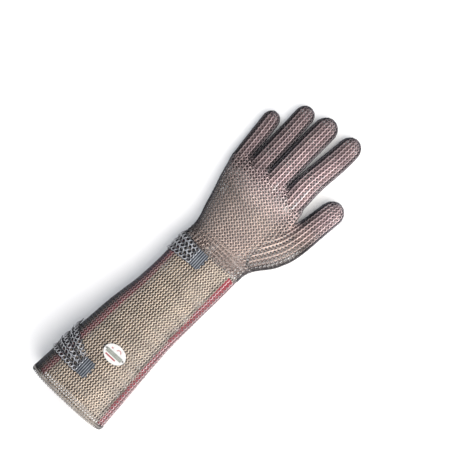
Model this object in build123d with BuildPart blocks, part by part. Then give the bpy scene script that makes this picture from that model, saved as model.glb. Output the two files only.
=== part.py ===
from build123d import *
import math
import os

# Chain mail glove with a long cuff, left hand, lying palm down and keeping the shape of a hand.
# Millimetres. +Y runs from the forearm to the fingertips, +X is the thumb side, +Z is the back
# of the hand. The underside of the palm, cuff and fingers lies on z = 0.

os.makedirs("parts", exist_ok=True)

# ---------------------------------------------------------------- driving dimensions
OFF_X = -10.415             # moves the whole glove so that its box is centred on the origin
OFF_Y = -0.6025
WALL = 2.0                  # thickness of the folded mail of the hand and cuff
DIGIT_WALL = 1.8            # thickness of the mail of a finger
GAP = 0.8                   # half of the slit between two bodies at a hinge
CLEAR = 0.25                # room between a gusset and its neighbours
EXTRA = 1.5                 # spare angle on each side of a hinge, degrees

# Outline of hand, wrist and cuff: Y, left edge, right edge, height, corner radius
OUTLINE = [
    (112.0, -51.5, 41.5, 24.0, 11.0),
    (98.0, -49.5, 43.0, 26.0, 12.0),
    (92.0, -48.5, 45.0, 27.0, 12.5),
    (79.0, -47.0, 50.0, 29.0, 13.0),
    (74.0, -45.0, 75.5, 30.0, 13.0),
    (62.0, -41.5, 70.0, 32.0, 14.0),
    (50.0, -38.0, 63.0, 34.0, 15.0),
    (40.0, -36.5, 54.5, 35.5, 15.5),
    (30.0, -32.0, 46.5, 37.0, 16.0),
    (20.0, -30.8, 42.0, 38.5, 17.0),
    (0.0, -33.0, 41.0, 42.0, 18.0),
    (-34.0, -33.0, 39.3, 46.0, 20.0),
    (-60.0, -35.2, 38.0, 50.0, 22.0),
    (-94.0, -41.5, 37.0, 56.0, 24.0),
    (-140.0, -46.5, 39.0, 66.0, 27.0),
    (-192.0, -51.0, 41.5, 74.0, 30.0),
]

# Digits: root centre x, y; tip x, y; width at root, at tip; height at root, at tip
DIGITS = {
    "index": ((26.2, 98.0), (33.3, 193.0), 27.0, 25.0, 21.0, 18.5),
    "middle": ((-1.1, 96.0), (2.0, 192.0), 24.5, 25.0, 21.0, 18.5),
    "ring": ((-23.9, 92.0), (-23.1, 185.2), 19.0, 20.5, 20.0, 17.5),
    "little": ((-41.9, 90.0), (-47.6, 158.4), 16.5, 17.2, 17.5, 16.0),
    "thumb": ((55.0, 66.0), (66.2, 134.0), 26.0, 24.6, 27.0, 20.0),
}

# Hinge stations along each digit, measured from its root centre
PIP = {"index": 49.0, "middle": 49.5, "ring": 48.5, "little": 34.0}
DIP = {"index": 74.0, "middle": 75.0, "ring": 72.5, "little": 51.0}
THUMB_MCP = 18.0
THUMB_IP = 41.0

# Real ranges of motion, degrees: bend towards the palm, bend backwards
MCP_BEND, MCP_BACK = 75.0, 15.0
PIP_BEND, PIP_BACK = 90.0, 5.0
DIP_BEND, DIP_BACK = 55.0, 5.0
TMCP_BEND, TMCP_BACK = 45.0, 5.0
TIP_BEND, TIP_BACK = 60.0, 5.0
SWING_BEND, SWING_BACK = 40.0, 10.0
WRIST_BEND, WRIST_BACK = 40.0, 40.0
WRIST_SIDE = 15.0

# Hinge lines
MCP_Y = 101.0               # where the knuckle line crosses x = 0
MCP_SLOPE = 0.107           # rise of the knuckle line towards the thumb
MCP_Z = 8.5
FINGER_Z = {"index": 8.0, "middle": 8.0, "ring": 7.6, "little": 6.6}
THUMB_Z = 9.5
SWING_X, SWING_Z = 44.0, 9.0
ROOT_HALF = 31.0            # half of the length of the thumb's root along the hand
WRIST_Y, WRIST_Z = 31.0, 19.0
SIDE_Y, SIDE_X = 14.0, 4.5

# Straps, hook plates, stays and badge
STRAP_T = 1.8
STRAP_GAP = 0.6
STRAP_ROOT_Z = (22.0, 34.0)             # height of the strap's root edge, wrist and forearm
HOOK_W, HOOK_L, HOOK_T = 12.5, 18.0, 1.1
HOOK_RIB, HOOK_RIBS, HOOK_PITCH, HOOK_RISE = 1.1, 4, 2.3, 0.6
STAY_T = 1.6
BADGE_W, BADGE_L, BADGE_T = 25.0, 18.4, 0.8
BADGE_Y, BADGE_X = -127.0, 0.5


# ---------------------------------------------------------------- helpers
def outline_at(y):
    """Left edge, right edge, height and corner radius of the hand and cuff at a given Y."""
    pts = OUTLINE
    if y >= pts[0][0]:
        return pts[0][1:]
    for upper, lower in zip(pts, pts[1:]):
        if y >= lower[0]:
            k = (y - lower[0]) / (upper[0] - lower[0])
            return tuple(b + (a - b) * k for a, b in zip(upper[1:], lower[1:]))
    return pts[-1][1:]


def section(centre, heading, width, height, radius):
    """A rounded section standing across the direction heading (x, y)."""
    plane = Plane(
        origin=(centre[0] + OFF_X, centre[1] + OFF_Y, centre[2]),
        x_dir=(heading[1], -heading[0], 0),
        z_dir=(-heading[0], -heading[1], 0),
    )
    with BuildSketch(plane, mode=Mode.PRIVATE) as profile:
        RectangleRounded(width, height, radius)
    return profile.sketch


def outline_sections(top, bottom, grow):
    """Sections of the hand and cuff between two Y stations, grown outwards by grow."""
    stations = [top] + [row[0] for row in OUTLINE if bottom < row[0] < top] + [bottom]
    sections = []
    for y in stations:
        left, right, height, radius = outline_at(y)
        sections.append(
            section(
                ((left + right) / 2, y, height / 2),
                (0, 1),
                right - left + 2 * grow,
                height + 2 * grow,
                radius + grow,
            )
        )
    return sections


def outline_body(top, bottom, grow=0.0, mode=Mode.ADD):
    loft(outline_sections(top, bottom, grow), ruled=True, mode=mode)


def digit_axis(name):
    """Root point, unit direction and length of a digit."""
    (x0, y0), (x1, y1) = DIGITS[name][0], DIGITS[name][1]
    length = math.hypot(x1 - x0, y1 - y0)
    return (x0, y0), ((x1 - x0) / length, (y1 - y0) / length), length


def digit_body(name, inset=0.0, mode=Mode.ADD):
    """The tube of a digit with its domed tip."""
    root, way, length = digit_axis(name)
    w0, w1, h0, h1 = DIGITS[name][2:]
    end = length - inset
    dome = 0.52 * w1
    rows = [(-2.0 - inset, 1.0, 1.0), (end - dome, 1.0, 1.0), (end - 0.62 * dome, 0.93, 0.95),
            (end - 0.30 * dome, 0.74, 0.80), (end - 0.09 * dome, 0.48, 0.56), (end, 0.22, 0.30)]
    sections = []
    for along, kw, kh in rows:
        k = max(0.0, min(1.0, along / (length - dome)))
        width = (w0 + (w1 - w0) * k - 2 * inset) * kw
        full = h0 + (h1 - h0) * k
        height = (full - 2 * inset) * kh
        sections.append(
            section(
                (root[0] + way[0] * along, root[1] + way[1] * along, full / 2),
                way,
                width,
                height,
                0.46 * min(width, height),
            )
        )
    loft(sections, ruled=True, mode=mode)


class Hinge:
    """A hinge line: a point on it, the direction from the near body to the far one, its
    height, and how far the far body bends down and up."""

    def __init__(self, point, way, height, bend, back):
        self.point, self.way, self.height = point, way, height
        self.low = math.tan(math.radians(bend / 2 + EXTRA))
        self.high = math.tan(math.radians(back / 2 + EXTRA))

    def plane(self):
        # local x runs along way, local y is up
        return Plane(
            origin=(self.point[0] + OFF_X, self.point[1] + OFF_Y, 0),
            x_dir=(self.way[0], self.way[1], 0),
            z_dir=(self.way[1], -self.way[0], 0),
        )

    def edge(self, side, gap):
        """The boundary of a body at this hinge, from bottom to top."""
        down, up = self.height + 5.0, 100.0 - self.height
        return [(side * (gap + down * self.low), -5.0), (side * gap, self.height),
                (side * (gap + up * self.high), 100.0)]


def cut_profile(plane, points, depth, mode):
    with BuildSketch(plane, mode=Mode.PRIVATE) as profile:
        with BuildLine():
            Polyline(*points, close=True)
        make_face()
    extrude(profile.sketch, amount=depth, both=True, mode=mode)


def keep_far(hinge, gap=GAP):
    """Keep what lies beyond the hinge."""
    cut_profile(hinge.plane(), hinge.edge(1, gap) + [(400.0, 100.0), (400.0, -5.0)], 200, Mode.INTERSECT)


def keep_near(hinge, gap=GAP):
    """Keep what lies before the hinge."""
    cut_profile(hinge.plane(), hinge.edge(-1, gap) + [(-400.0, 100.0), (-400.0, -5.0)], 200, Mode.INTERSECT)


def keep_between(hinge, gap=GAP - CLEAR):
    """Keep the gusset that fills the hinge's opening."""
    cut_profile(hinge.plane(), hinge.edge(-1, gap) + hinge.edge(1, gap)[::-1], 200, Mode.INTERSECT)


def keep_box(x0, x1, y0, y1, z0, z1, mode=Mode.INTERSECT):
    with BuildSketch(Plane.XY.offset(z0), mode=Mode.PRIVATE) as profile:
        with Locations(((x0 + x1) / 2 + OFF_X, (y0 + y1) / 2 + OFF_Y)):
            Rectangle(x1 - x0, y1 - y0)
    extrude(profile.sketch, amount=z1 - z0, mode=mode)


def keep_plan(points, z0, z1, mode=Mode.INTERSECT):
    """Keep, or remove, an area drawn in plan."""
    with BuildSketch(Plane.XY.offset(z0), mode=Mode.PRIVATE) as profile:
        with BuildLine():
            Polyline(*[(x + OFF_X, y + OFF_Y) for x, y in points], close=True)
        make_face()
    extrude(profile.sketch, amount=z1 - z0, mode=mode)


def side_edge(side, gap):
    """Boundary of the cuff or wrist at the side-to-side hinge, in plan, left to right."""
    slope = math.tan(math.radians(WRIST_SIDE / 2 + EXTRA))
    reach = 90.0
    return [(SIDE_X - reach, SIDE_Y + side * (gap + reach * slope)), (SIDE_X, SIDE_Y + side * gap),
            (SIDE_X + reach, SIDE_Y + side * (gap + reach * slope))]


def along_digit(name, station):
    root, way, _ = digit_axis(name)
    return (root[0] + way[0] * station, root[1] + way[1] * station)


# ---------------------------------------------------------------- hinges
norm = math.hypot(1.0, MCP_SLOPE)
MCP_WAY = (-MCP_SLOPE / norm, 1.0 / norm)
mcp = Hinge((0.0, MCP_Y), MCP_WAY, MCP_Z, MCP_BEND, MCP_BACK)
pip = {f: Hinge(along_digit(f, PIP[f]), digit_axis(f)[1], FINGER_Z[f], PIP_BEND, PIP_BACK) for f in PIP}
dip = {f: Hinge(along_digit(f, DIP[f]), digit_axis(f)[1], FINGER_Z[f], DIP_BEND, DIP_BACK) for f in DIP}
thumb_mcp = Hinge(along_digit("thumb", THUMB_MCP), digit_axis("thumb")[1], THUMB_Z, TMCP_BEND, TMCP_BACK)
thumb_ip = Hinge(along_digit("thumb", THUMB_IP), digit_axis("thumb")[1], THUMB_Z, TIP_BEND, TIP_BACK)
swing = Hinge((SWING_X, 60.0), (1.0, 0.0), SWING_Z, SWING_BEND, SWING_BACK)
wrist = Hinge((0.0, WRIST_Y), (0.0, 1.0), WRIST_Z, WRIST_BEND, WRIST_BACK)

HAND_SPLIT_Z = 16.0         # seam between the back panel and the palm panel
CUFF_SPLIT_Z = 20.0         # seam between the top and the under panel of the cuff

# ---------------------------------------------------------------- hand
with BuildPart() as hand_back_mail:
    outline_body(112, 12)
    outline_body(113, 11, -WALL, Mode.SUBTRACT)
    keep_far(wrist)
    keep_near(mcp)
    # the slit beside the thumb stops at both ends of the thumb's root
    cut_profile(swing.plane(), swing.edge(-1, GAP) + [(100.0, 100.0), (100.0, -5.0)], ROOT_HALF, Mode.SUBTRACT)
    keep_box(-80, 90, 0, 130, HAND_SPLIT_Z, 100)
hand_back_mail.part.label = "hand_back_mail"

with BuildPart() as hand_palm_mail:
    outline_body(112, 12)
    outline_body(113, 11, -WALL, Mode.SUBTRACT)
    keep_far(wrist)
    keep_near(mcp)
    cut_profile(swing.plane(), swing.edge(-1, GAP) + [(100.0, 100.0), (100.0, -5.0)], ROOT_HALF, Mode.SUBTRACT)
    keep_box(-80, 90, 0, 130, -1, HAND_SPLIT_Z)
hand_palm_mail.part.label = "hand_palm_mail"

with BuildPart() as knuckle_mail:
    outline_body(112, 85)
    outline_body(113, 84, -WALL, Mode.SUBTRACT)
    keep_between(mcp)
knuckle_mail.part.label = "knuckle_mail"

# ---------------------------------------------------------------- thumb
with BuildPart() as thumb_base_mail:
    outline_body(100, 12)
    digit_body("thumb")
    outline_body(101, 11, -WALL, Mode.SUBTRACT)
    digit_body("thumb", DIGIT_WALL, Mode.SUBTRACT)
    keep_far(swing)
    keep_far(wrist)
    keep_near(thumb_mcp)
thumb_base_mail.part.label = "thumb_base_mail"

with BuildPart() as thumb_root_mail:
    outline_body(100, 12)
    outline_body(101, 11, -WALL, Mode.SUBTRACT)
    keep_between(swing)
    keep_far(wrist)
    keep_box(0, 90, 60 - ROOT_HALF + CLEAR, 60 + ROOT_HALF - CLEAR, -1, 100)
    digit_body("thumb", -0.4, Mode.SUBTRACT)
thumb_root_mail.part.label = "thumb_root_mail"

with BuildPart() as thumb_lower_mail:
    digit_body("thumb")
    digit_body("thumb", DIGIT_WALL, Mode.SUBTRACT)
    keep_far(thumb_mcp)
    keep_near(thumb_ip)
thumb_lower_mail.part.label = "thumb_lower_mail"

with BuildPart() as thumb_tip_mail:
    digit_body("thumb")
    digit_body("thumb", DIGIT_WALL, Mode.SUBTRACT)
    keep_far(thumb_ip)
thumb_tip_mail.part.label = "thumb_tip_mail"

with BuildPart() as thumb_knuckle_gusset:
    digit_body("thumb")
    digit_body("thumb", DIGIT_WALL, Mode.SUBTRACT)
    keep_between(thumb_mcp)
thumb_knuckle_gusset.part.label = "thumb_knuckle_gusset"

with BuildPart() as thumb_tip_gusset:
    digit_body("thumb")
    digit_body("thumb", DIGIT_WALL, Mode.SUBTRACT)
    keep_between(thumb_ip)
thumb_tip_gusset.part.label = "thumb_tip_gusset"

# ---------------------------------------------------------------- index finger
with BuildPart() as index_lower_mail:
    digit_body("index")
    digit_body("index", DIGIT_WALL, Mode.SUBTRACT)
    keep_far(mcp)
    keep_near(pip["index"])
index_lower_mail.part.label = "index_lower_mail"

with BuildPart() as index_middle_mail:
    digit_body("index")
    digit_body("index", DIGIT_WALL, Mode.SUBTRACT)
    keep_far(pip["index"])
    keep_near(dip["index"])
index_middle_mail.part.label = "index_middle_mail"

with BuildPart() as index_tip_mail:
    digit_body("index")
    digit_body("index", DIGIT_WALL, Mode.SUBTRACT)
    keep_far(dip["index"])
index_tip_mail.part.label = "index_tip_mail"

with BuildPart() as index_middle_gusset:
    digit_body("index")
    digit_body("index", DIGIT_WALL, Mode.SUBTRACT)
    keep_between(pip["index"])
index_middle_gusset.part.label = "index_middle_gusset"

with BuildPart() as index_tip_gusset:
    digit_body("index")
    digit_body("index", DIGIT_WALL, Mode.SUBTRACT)
    keep_between(dip["index"])
index_tip_gusset.part.label = "index_tip_gusset"

# ---------------------------------------------------------------- middle finger
with BuildPart() as middle_lower_mail:
    digit_body("middle")
    digit_body("middle", DIGIT_WALL, Mode.SUBTRACT)
    keep_far(mcp)
    keep_near(pip["middle"])
middle_lower_mail.part.label = "middle_lower_mail"

with BuildPart() as middle_middle_mail:
    digit_body("middle")
    digit_body("middle", DIGIT_WALL, Mode.SUBTRACT)
    keep_far(pip["middle"])
    keep_near(dip["middle"])
middle_middle_mail.part.label = "middle_middle_mail"

with BuildPart() as middle_tip_mail:
    digit_body("middle")
    digit_body("middle", DIGIT_WALL, Mode.SUBTRACT)
    keep_far(dip["middle"])
middle_tip_mail.part.label = "middle_tip_mail"

with BuildPart() as middle_middle_gusset:
    digit_body("middle")
    digit_body("middle", DIGIT_WALL, Mode.SUBTRACT)
    keep_between(pip["middle"])
middle_middle_gusset.part.label = "middle_middle_gusset"

with BuildPart() as middle_tip_gusset:
    digit_body("middle")
    digit_body("middle", DIGIT_WALL, Mode.SUBTRACT)
    keep_between(dip["middle"])
middle_tip_gusset.part.label = "middle_tip_gusset"

# ---------------------------------------------------------------- ring finger
with BuildPart() as ring_lower_mail:
    digit_body("ring")
    digit_body("ring", DIGIT_WALL, Mode.SUBTRACT)
    keep_far(mcp)
    keep_near(pip["ring"])
ring_lower_mail.part.label = "ring_lower_mail"

with BuildPart() as ring_middle_mail:
    digit_body("ring")
    digit_body("ring", DIGIT_WALL, Mode.SUBTRACT)
    keep_far(pip["ring"])
    keep_near(dip["ring"])
ring_middle_mail.part.label = "ring_middle_mail"

with BuildPart() as ring_tip_mail:
    digit_body("ring")
    digit_body("ring", DIGIT_WALL, Mode.SUBTRACT)
    keep_far(dip["ring"])
ring_tip_mail.part.label = "ring_tip_mail"

with BuildPart() as ring_middle_gusset:
    digit_body("ring")
    digit_body("ring", DIGIT_WALL, Mode.SUBTRACT)
    keep_between(pip["ring"])
ring_middle_gusset.part.label = "ring_middle_gusset"

with BuildPart() as ring_tip_gusset:
    digit_body("ring")
    digit_body("ring", DIGIT_WALL, Mode.SUBTRACT)
    keep_between(dip["ring"])
ring_tip_gusset.part.label = "ring_tip_gusset"

# ---------------------------------------------------------------- little finger
with BuildPart() as little_lower_mail:
    digit_body("little")
    digit_body("little", DIGIT_WALL, Mode.SUBTRACT)
    keep_far(mcp)
    keep_near(pip["little"])
little_lower_mail.part.label = "little_lower_mail"

with BuildPart() as little_middle_mail:
    digit_body("little")
    digit_body("little", DIGIT_WALL, Mode.SUBTRACT)
    keep_far(pip["little"])
    keep_near(dip["little"])
little_middle_mail.part.label = "little_middle_mail"

with BuildPart() as little_tip_mail:
    digit_body("little")
    digit_body("little", DIGIT_WALL, Mode.SUBTRACT)
    keep_far(dip["little"])
little_tip_mail.part.label = "little_tip_mail"

with BuildPart() as little_middle_gusset:
    digit_body("little")
    digit_body("little", DIGIT_WALL, Mode.SUBTRACT)
    keep_between(pip["little"])
little_middle_gusset.part.label = "little_middle_gusset"

with BuildPart() as little_tip_gusset:
    digit_body("little")
    digit_body("little", DIGIT_WALL, Mode.SUBTRACT)
    keep_between(dip["little"])
little_tip_gusset.part.label = "little_tip_gusset"

# ---------------------------------------------------------------- wrist
with BuildPart() as wrist_mail:
    outline_body(60, -20)
    outline_body(61, -21, -WALL, Mode.SUBTRACT)
    keep_near(wrist)
    keep_plan(side_edge(1, GAP) + [(150, 100), (-150, 100)], -5, 100)
wrist_mail.part.label = "wrist_mail"

with BuildPart() as wrist_bend_gusset:
    outline_body(60, -20)
    outline_body(61, -21, -WALL, Mode.SUBTRACT)
    keep_between(wrist)
    keep_box(-80, SWING_X - GAP - CLEAR, 0, 80, -1, 100)
wrist_bend_gusset.part.label = "wrist_bend_gusset"

with BuildPart() as wrist_side_gusset:
    outline_body(60, -20)
    outline_body(61, -21, -WALL, Mode.SUBTRACT)
    keep_plan(side_edge(-1, GAP - CLEAR) + side_edge(1, GAP - CLEAR)[::-1], -5, 100)
wrist_side_gusset.part.label = "wrist_side_gusset"

# ---------------------------------------------------------------- cuff
with BuildPart() as cuff_top_mail:
    outline_body(30, -192)
    outline_body(31, -193, -WALL, Mode.SUBTRACT)
    keep_plan(side_edge(-1, GAP) + [(150, -250), (-150, -250)], -5, 100)
    keep_box(-80, 90, -200, 60, CUFF_SPLIT_Z, 100)
cuff_top_mail.part.label = "cuff_top_mail"

with BuildPart() as cuff_under_mail:
    outline_body(30, -192)
    outline_body(31, -193, -WALL, Mode.SUBTRACT)
    keep_plan(side_edge(-1, GAP) + [(150, -250), (-150, -250)], -5, 100)
    keep_box(-80, 90, -200, 60, -1, CUFF_SPLIT_Z)
cuff_under_mail.part.label = "cuff_under_mail"

# Flat plastic stays that keep the cuff stiff, just inside its upper corners
with BuildPart() as thumb_side_stay:
    outline_body(3, -188, -WALL - 0.3)
    outline_body(4, -189, -WALL - 0.3 - STAY_T, Mode.SUBTRACT)
    keep_plan([(31.5, 4), (39.5, 4), (36.4, -94), (38.4, -140), (40.5, -190),
               (33.0, -190), (31.2, -140), (29.5, -94)], 24, 100)
thumb_side_stay.part.label = "thumb_side_stay"

with BuildPart() as little_side_stay:
    outline_body(3, -188, -WALL - 0.3)
    outline_body(4, -189, -WALL - 0.3 - STAY_T, Mode.SUBTRACT)
    keep_plan([(-30.5, 4), (-24.5, 4), (-26.0, -60), (-29.8, -100), (-33.0, -135), (-37.0, -190),
               (-43.0, -190), (-39.0, -135), (-35.8, -100), (-32.0, -60)], 24, 100)
little_side_stay.part.label = "little_side_stay"

# Oval badge lying on the upper side of the cuff, with an eyelet near each end
slope = (outline_at(-94)[2] - outline_at(-140)[2]) / 46.0
tilt = math.hypot(1.0, slope)
badge_plane = Plane(
    origin=(BADGE_X + OFF_X, BADGE_Y + OFF_Y, outline_at(BADGE_Y)[2] + 0.35),
    x_dir=(1, 0, 0),
    z_dir=(0, -slope / tilt, 1.0 / tilt),
)
with BuildPart() as badge:
    with BuildSketch(badge_plane):
        Ellipse(BADGE_W / 2, BADGE_L / 2)
        with Locations((-10.4, 0), (10.4, 0)):
            Circle(0.9, mode=Mode.SUBTRACT)
    extrude(amount=BADGE_T)
    fillet(badge.edges().filter_by(GeomType.CIRCLE, reverse=True).sort_by(Axis.Z)[-1], 0.25)
badge.part.label = "badge"

# ---------------------------------------------------------------- straps
with BuildPart() as wrist_strap:
    outline_body(16, -22, STRAP_GAP + STRAP_T)
    outline_body(17, -23, STRAP_GAP, Mode.SUBTRACT)
    keep_plan([(-60, 7.4), (-36, 7.4), (-10.4, 5.2), (-10.4, -13.2), (-36, -17.5), (-60, -17.5)],
              STRAP_ROOT_Z[0], 100)
wrist_strap.part.label = "wrist_strap"

with BuildPart() as forearm_strap:
    outline_body(-110, -175, STRAP_GAP + STRAP_T)
    outline_body(-109, -176, STRAP_GAP, Mode.SUBTRACT)
    keep_plan([(-80, -122), (-46, -125), (-19.4, -145.5), (-19.4, -164.5), (-46, -166), (-80, -166)],
              STRAP_ROOT_Z[1], 100)
forearm_strap.part.label = "forearm_strap"


def hook_plate(x0, y_mid, height):
    """A ribbed steel plate with short hooks along its free edge, their points turned down."""
    with BuildSketch(Plane.XY.offset(height), mode=Mode.PRIVATE) as plate:
        with Locations((x0 + HOOK_W / 2 + OFF_X, y_mid + OFF_Y)):
            RectangleRounded(HOOK_W, HOOK_L, 1.6)
        # eyelets for the rings that join the plate to the strap
        for n in range(4):
            with Locations((x0 + 1.3 + OFF_X, y_mid + 4.2 * (n - 1.5) + OFF_Y)):
                Circle(0.7, mode=Mode.SUBTRACT)
    extrude(plate.sketch, amount=HOOK_T)
    with BuildSketch(Plane.XY.offset(height + HOOK_T - 0.2), mode=Mode.PRIVATE) as ribs:
        for n in range(HOOK_RIBS):
            with Locations((x0 + 3.6 + HOOK_PITCH * n + OFF_X, y_mid + OFF_Y)):
                SlotOverall(HOOK_L - 2.6, HOOK_RIB, rotation=90)
    extrude(ribs.sketch, amount=0.2 + HOOK_RISE)
    for n in (-1, 0, 1):
        reach = 2.8 if n == 0 else 1.8
        edge = x0 + HOOK_W
        with BuildSketch(Plane.XY.offset(height + 0.1), mode=Mode.PRIVATE) as hook:
            with BuildLine():
                Polyline(*[(x + OFF_X, y_mid + 5.4 * n + y + OFF_Y) for x, y in (
                    (edge - 0.6, -1.5), (edge + 0.6 * reach, -0.9), (edge + reach, 0.0),
                    (edge + 0.6 * reach, 0.9), (edge - 0.6, 1.5))], close=True)
            make_face()
        extrude(hook.sketch, amount=0.9)
        with BuildSketch(Plane.XY.offset(height - 0.4), mode=Mode.PRIVATE) as point:
            with Locations((edge + reach - 0.9 + OFF_X, y_mid + 5.4 * n + OFF_Y)):
                Circle(0.4)
        extrude(point.sketch, amount=0.8)


wrist_hook_z = outline_at(-13.5)[2] + 0.7
with BuildPart() as wrist_hook:
    hook_plate(-9.5, -4.0, wrist_hook_z)
wrist_hook.part.label = "wrist_hook"

forearm_hook_z = outline_at(-165)[2] + 0.7
with BuildPart() as forearm_hook:
    hook_plate(-18.5, -155.0, forearm_hook_z)
forearm_hook.part.label = "forearm_hook"

# ---------------------------------------------------------------- write each piece
pieces = [
    hand_back_mail, hand_palm_mail, knuckle_mail,
    thumb_base_mail, thumb_root_mail, thumb_lower_mail, thumb_tip_mail,
    thumb_knuckle_gusset, thumb_tip_gusset,
    index_lower_mail, index_middle_mail, index_tip_mail, index_middle_gusset, index_tip_gusset,
    middle_lower_mail, middle_middle_mail, middle_tip_mail, middle_middle_gusset, middle_tip_gusset,
    ring_lower_mail, ring_middle_mail, ring_tip_mail, ring_middle_gusset, ring_tip_gusset,
    little_lower_mail, little_middle_mail, little_tip_mail, little_middle_gusset, little_tip_gusset,
    wrist_mail, wrist_bend_gusset, wrist_side_gusset,
    cuff_top_mail, cuff_under_mail, thumb_side_stay, little_side_stay, badge,
    wrist_strap, wrist_hook, forearm_strap, forearm_hook,
]
for piece in pieces:
    export_step(piece.part, f"parts/{piece.part.label}.step")

boxes = [piece.part.bounding_box() for piece in pieces]
print("low ", min(b.min.X for b in boxes), min(b.min.Y for b in boxes), min(b.min.Z for b in boxes))
print("high", max(b.max.X for b in boxes), max(b.max.Y for b in boxes), max(b.max.Z for b in boxes))
print("hooks", wrist_hook_z, forearm_hook_z)
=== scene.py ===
import math

import bpy
import numpy as np
from mathutils import Matrix, Vector
from mathutils.kdtree import KDTree


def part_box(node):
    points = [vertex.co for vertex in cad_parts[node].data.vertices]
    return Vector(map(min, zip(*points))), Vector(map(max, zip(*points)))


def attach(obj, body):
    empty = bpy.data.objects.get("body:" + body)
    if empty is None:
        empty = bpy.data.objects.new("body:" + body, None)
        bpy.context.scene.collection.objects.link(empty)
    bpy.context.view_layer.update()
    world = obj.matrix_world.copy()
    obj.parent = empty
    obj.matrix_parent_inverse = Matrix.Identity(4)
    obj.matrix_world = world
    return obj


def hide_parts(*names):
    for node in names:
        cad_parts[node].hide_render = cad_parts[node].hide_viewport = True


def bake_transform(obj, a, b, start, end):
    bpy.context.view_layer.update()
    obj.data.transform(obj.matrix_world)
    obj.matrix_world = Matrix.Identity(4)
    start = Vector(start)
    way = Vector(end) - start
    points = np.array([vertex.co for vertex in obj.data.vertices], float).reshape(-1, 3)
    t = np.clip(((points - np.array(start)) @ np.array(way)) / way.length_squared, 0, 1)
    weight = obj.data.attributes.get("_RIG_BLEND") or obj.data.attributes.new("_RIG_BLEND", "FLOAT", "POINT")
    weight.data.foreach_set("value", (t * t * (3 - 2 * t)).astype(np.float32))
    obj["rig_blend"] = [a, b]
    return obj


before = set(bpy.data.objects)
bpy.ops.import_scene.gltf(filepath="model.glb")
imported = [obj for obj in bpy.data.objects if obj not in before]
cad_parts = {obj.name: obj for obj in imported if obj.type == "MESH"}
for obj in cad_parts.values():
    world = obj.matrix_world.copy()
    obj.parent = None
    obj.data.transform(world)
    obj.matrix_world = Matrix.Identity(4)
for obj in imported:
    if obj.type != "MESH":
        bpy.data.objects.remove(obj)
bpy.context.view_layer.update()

# ------------------------------------------------------------------ glove coordinates
# The tables below are in millimetres, with X = 0 near the middle of the hand and Y = 0 at the
# wrist strap. OFF moves them into the row frame.
OFF = np.array([-10.415, -0.6025, 0.0])
rng = np.random.default_rng(7)


def to_world(p):
    return (np.asarray(p, float) + OFF) / 1000.0


# ------------------------------------------------------------------ ring sizes
RING_R = 1.70          # centre-line radius of a ring
WIRE = 0.34            # radius of its wire
PITCH = 4.0            # ring to ring along a row
MAJOR, MINOR = 16, 6   # facets round the ring and round the wire

# ------------------------------------------------------------------ shape of hand, wrist and cuff
# Y, left, right, height
ARM = np.array([
    (112.0, -51.0, 41.0, 19.6),
    (104.0, -50.3, 41.6, 22.4),
    (98.0, -49.5, 42.0, 24.8),
    (90.0, -48.3, 42.6, 27.8),
    (80.0, -46.8, 43.4, 30.5),
    (70.0, -44.2, 44.0, 32.0),
    (60.0, -41.0, 44.2, 33.5),
    (50.0, -38.0, 44.0, 34.8),
    (40.0, -36.3, 43.4, 36.0),
    (30.0, -32.0, 42.6, 37.2),
    (20.0, -30.8, 42.0, 38.5),
    (8.0, -31.6, 40.8, 40.6),
    (0.0, -32.6, 40.8, 42.0),
    (-20.0, -32.6, 40.2, 44.4),
    (-34.0, -33.0, 39.3, 46.0),
    (-60.0, -35.2, 38.0, 50.0),
    (-80.0, -39.0, 37.2, 53.4),
    (-94.0, -41.3, 37.0, 56.0),
    (-110.0, -43.0, 37.6, 59.5),
    (-140.0, -46.3, 39.0, 66.0),
    (-170.0, -49.0, 40.5, 71.0),
    (-192.0, -50.8, 41.4, 74.0),
    (-196.0, -51.1, 41.6, 74.5),
])[::-1]
STEP = 0.5
ARM_Y = np.arange(-196.0, 112.01, STEP)


def smooth(values, sigma):
    n = int(4 * sigma / STEP)
    k = np.exp(-0.5 * (np.arange(-n, n + 1) * STEP / sigma) ** 2)
    k /= k.sum()
    padded = np.concatenate([
        2 * values[0] - values[1:n + 1][::-1], values, 2 * values[-1] - values[-n - 1:-1][::-1]])
    return np.convolve(padded, k, "valid")


ARM_L, ARM_R, ARM_H = [smooth(np.interp(ARM_Y, ARM[:, 0], ARM[:, c]), 5.0) for c in (1, 2, 3)]
ARM_N = np.interp(ARM_Y, [-196, -40, 0, 22, 60, 112], [2.9, 2.8, 2.65, 2.35, 2.25, 2.4])

# ------------------------------------------------------------------ digits
# centre line from root to tip; widths and heights at stations along it; dome length
def digit(root, edges, h, rows):
    """Centre line and widths from left and right edges at stations of Y, over a deeper root."""
    line = [root[:2]] + [((left + right) / 2, y) for y, left, right in edges]
    at = [0.0]
    for (x0, y0), (x1, y1) in zip(line, line[1:]):
        at.append(at[-1] + math.hypot(x1 - x0, y1 - y0))
    slope = [1.0] + [(y1 - y0) / math.hypot(x1 - x0, y1 - y0) for (x0, y0), (x1, y1) in zip(line, line[1:])]
    w = [root[2]] + [(right - left) * k for (y, left, right), k in zip(edges, slope[1:])]
    return dict(line=line, s=at, w=w, h=[root[3]] + list(np.interp(at[1:], *h)), rows=rows)


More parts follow.
